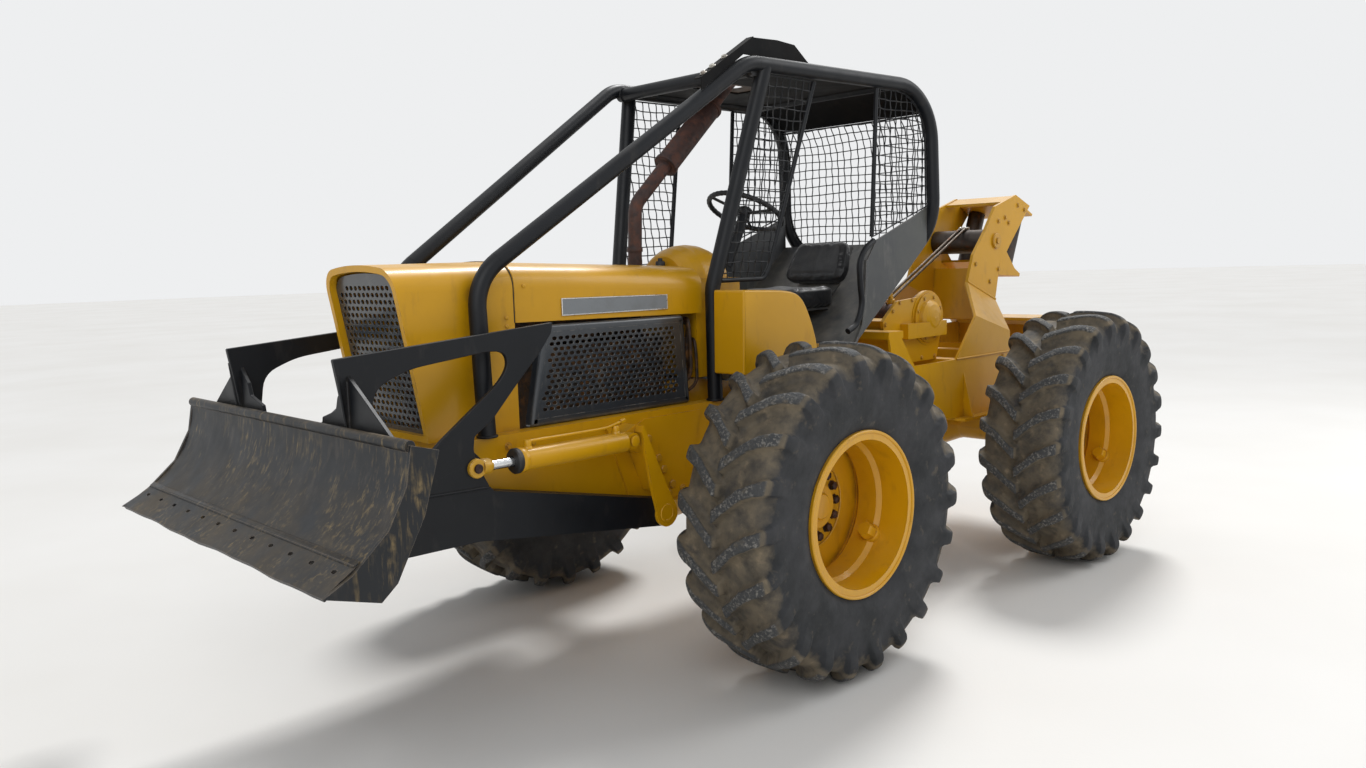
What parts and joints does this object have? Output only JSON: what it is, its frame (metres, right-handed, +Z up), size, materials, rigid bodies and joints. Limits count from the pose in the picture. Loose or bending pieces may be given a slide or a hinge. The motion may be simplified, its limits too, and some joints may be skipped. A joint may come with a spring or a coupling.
{
  "type": "log skidder",
  "caption": "Articulated log skidder with large lugged tyres, a front dozer blade, an open tube guard over the operator, a winch and a log arch.",
  "frame": {"origin": "on the ground under the middle of the machine's box", "axes": "+X forward, +Y to the machine's left, +Z up"},
  "size_m": [5.728, 2.54, 2.904],
  "materials": {
    "yellow_paint": "gloss",
    "black_paint": "satin",
    "dark_steel": "weathered",
    "black_plastic": "satin",
    "seat_vinyl": "satin",
    "rusty_steel": "rusty",
    "chrome_rod": "polished",
    "steel_cable": "dull",
    "tyre": "worn"
  },
  "bodies": {
    "front_body": {"front_frame": "yellow_paint", "front_axle": "yellow_paint", "engine": "dark_steel", "transmission": "yellow_paint", "grille_housing": "yellow_paint", "front_grille": "black_paint", "hood": "yellow_paint", "side_screens": "black_paint", "dash_cowl": "yellow_paint", "side_tanks": "yellow_paint", "platform": "dark_steel", "seat_base": "dark_steel", "seat_cushion": "seat_vinyl", "seat_back": "seat_vinyl", "steering_column": "black_plastic", "guard_frame": "black_paint", "guard_roof": "black_paint", "guard_mesh": "black_paint", "mesh_front_left": "black_paint", "mesh_front_right": "black_paint", "mesh_rear_left": "black_paint", "mesh_rear_right": "black_paint", "rear_shell": "dark_steel", "exhaust": "rusty_steel", "lift_brackets": "yellow_paint"},
    "rear_body": {"rear_frame": "yellow_paint", "rear_axle": "yellow_paint", "winch_housing": "yellow_paint", "winch_line": "steel_cable", "log_arch": "yellow_paint", "butt_plate": "yellow_paint"},
    "blade": {"blade_moldboard": "black_paint", "cutting_edge": "black_paint", "push_arms": "black_paint", "brush_guards": "black_paint"},
    "lift_barrel_left_body": {"lift_barrel_left": "yellow_paint"},
    "lift_barrel_right_body": {"lift_barrel_right": "yellow_paint"},
    "lift_rod_left_body": {"lift_rod_left": "chrome_rod"},
    "lift_rod_right_body": {"lift_rod_right": "chrome_rod"},
    "steer_barrel_left_body": {"steer_barrel_left": "yellow_paint"},
    "steer_barrel_right_body": {"steer_barrel_right": "yellow_paint"},
    "steer_rod_left_body": {"steer_rod_left": "chrome_rod"},
    "steer_rod_right_body": {"steer_rod_right": "chrome_rod"},
    "winch_drum_body": {"winch_drum": "dark_steel"},
    "cross_roller_body": {"cross_roller": "dark_steel"},
    "side_roller_left_body": {"side_roller_left": "dark_steel"},
    "side_roller_right_body": {"side_roller_right": "dark_steel"},
    "steering_wheel_body": {"steering_wheel": "black_plastic"},
    "wheel_front_left": {"rim_front_left": "yellow_paint", "tyre_front_left": "tyre"},
    "wheel_front_right": {"rim_front_right": "yellow_paint", "tyre_front_right": "tyre"},
    "wheel_rear_left": {"rim_rear_left": "yellow_paint", "tyre_rear_left": "tyre"},
    "wheel_rear_right": {"rim_rear_right": "yellow_paint", "tyre_rear_right": "tyre"}
  },
  "joints": [
    {"name": "articulation", "type": "hinge", "parent": "front_body", "child": "rear_body", "pos_m": [-0.64, 0, 1.09], "axis": [0, 0, 1], "range_deg": [-36, 36]},
    {"name": "blade_lift", "type": "hinge", "parent": "front_body", "child": "blade", "pos_m": [1.03, 0, 0.73], "axis": [0, -1, 0], "range_deg": [-27.5, 5]},
    {"name": "lift_cylinder_tilt_left", "type": "hinge", "parent": "front_body", "child": "lift_barrel_left_body", "pos_m": [1.207, 0.478, 1.083], "axis": [0, -1, 0], "range_deg": [-31, 6]},
    {"name": "lift_cylinder_stroke_left", "type": "slide", "parent": "lift_barrel_left_body", "child": "lift_rod_left_body", "axis": [1, 0, 0.0063], "range_m": [-0.035, 0.182]},
    {"name": "steer_cylinder_swing_left", "type": "hinge", "parent": "front_body", "child": "steer_barrel_left_body", "pos_m": [-0.24, 0.25, 0.985], "axis": [0, 0, 1], "range_deg": [-17, 17]},
    {"name": "steer_cylinder_stroke_left", "type": "slide", "parent": "steer_barrel_left_body", "child": "steer_rod_left_body", "axis": [-0.9992, -0.0405, 0], "range_m": [-0.146, 0.146]},
    {"name": "lift_cylinder_tilt_right", "type": "hinge", "parent": "front_body", "child": "lift_barrel_right_body", "pos_m": [1.207, -0.478, 1.083], "axis": [0, -1, 0], "range_deg": [-31, 6]},
    {"name": "lift_cylinder_stroke_right", "type": "slide", "parent": "lift_barrel_right_body", "child": "lift_rod_right_body", "axis": [1, 0, 0.0063], "range_m": [-0.035, 0.182]},
    {"name": "steer_cylinder_swing_right", "type": "hinge", "parent": "front_body", "child": "steer_barrel_right_body", "pos_m": [-0.24, -0.25, 0.985], "axis": [0, 0, 1], "range_deg": [-17, 17]},
    {"name": "steer_cylinder_stroke_right", "type": "slide", "parent": "steer_barrel_right_body", "child": "steer_rod_right_body", "axis": [-0.9992, 0.0405, 0], "range_m": [-0.146, 0.146]},
    {"name": "front_left_wheel_spin", "type": "hinge", "parent": "front_body", "child": "wheel_front_left", "pos_m": [0.555, 1.035, 0.745], "axis": [0, 1, 0], "continuous": true},
    {"name": "front_right_wheel_spin", "type": "hinge", "parent": "front_body", "child": "wheel_front_right", "pos_m": [0.555, -1.035, 0.745], "axis": [0, 1, 0], "continuous": true},
    {"name": "rear_left_wheel_spin", "type": "hinge", "parent": "rear_body", "child": "wheel_rear_left", "pos_m": [-1.835, 1.035, 0.745], "axis": [0, 1, 0], "continuous": true},
    {"name": "rear_right_wheel_spin", "type": "hinge", "parent": "rear_body", "child": "wheel_rear_right", "pos_m": [-1.835, -1.035, 0.745], "axis": [0, 1, 0], "continuous": true},
    {"name": "steering_wheel_turn", "type": "hinge", "parent": "front_body", "child": "steering_wheel_body", "pos_m": [-0.085, 0, 2.11], "axis": [-0.4695, 0, 0.8829], "continuous": true},
    {"name": "winch_drum_turn", "type": "hinge", "parent": "rear_body", "child": "winch_drum_body", "pos_m": [-1.404, 0, 1.461], "axis": [0, 1, 0], "continuous": true},
    {"name": "cross_roller_turn", "type": "hinge", "parent": "rear_body", "child": "cross_roller_body", "pos_m": [-2.307, 0, 1.924], "axis": [0, 1, 0], "continuous": true},
    {"name": "side_roller_left_turn", "type": "hinge", "parent": "rear_body", "child": "side_roller_left_body", "pos_m": [-2.552, 0.15, 1.725], "axis": [-0.4006, 0, 0.9163], "continuous": true},
    {"name": "side_roller_right_turn", "type": "hinge", "parent": "rear_body", "child": "side_roller_right_body", "pos_m": [-2.552, -0.15, 1.725], "axis": [-0.4006, 0, 0.9163], "continuous": true}
  ],
  "couplings": [
    {"joint": "lift_cylinder_tilt_left", "follows": "blade_lift", "ratio": 1.1153},
    {"joint": "lift_cylinder_stroke_left", "follows": "blade_lift", "m_per_rad": -0.3746},
    {"joint": "steer_cylinder_swing_left", "follows": "articulation", "ratio": 0.447},
    {"joint": "steer_cylinder_stroke_left", "follows": "articulation", "m_per_rad": 0.2298},
    {"joint": "lift_cylinder_tilt_right", "follows": "blade_lift", "ratio": 1.1153},
    {"joint": "lift_cylinder_stroke_right", "follows": "blade_lift", "m_per_rad": -0.3746},
    {"joint": "steer_cylinder_swing_right", "follows": "articulation", "ratio": 0.447},
    {"joint": "steer_cylinder_stroke_right", "follows": "articulation", "m_per_rad": -0.2298}
  ]
}
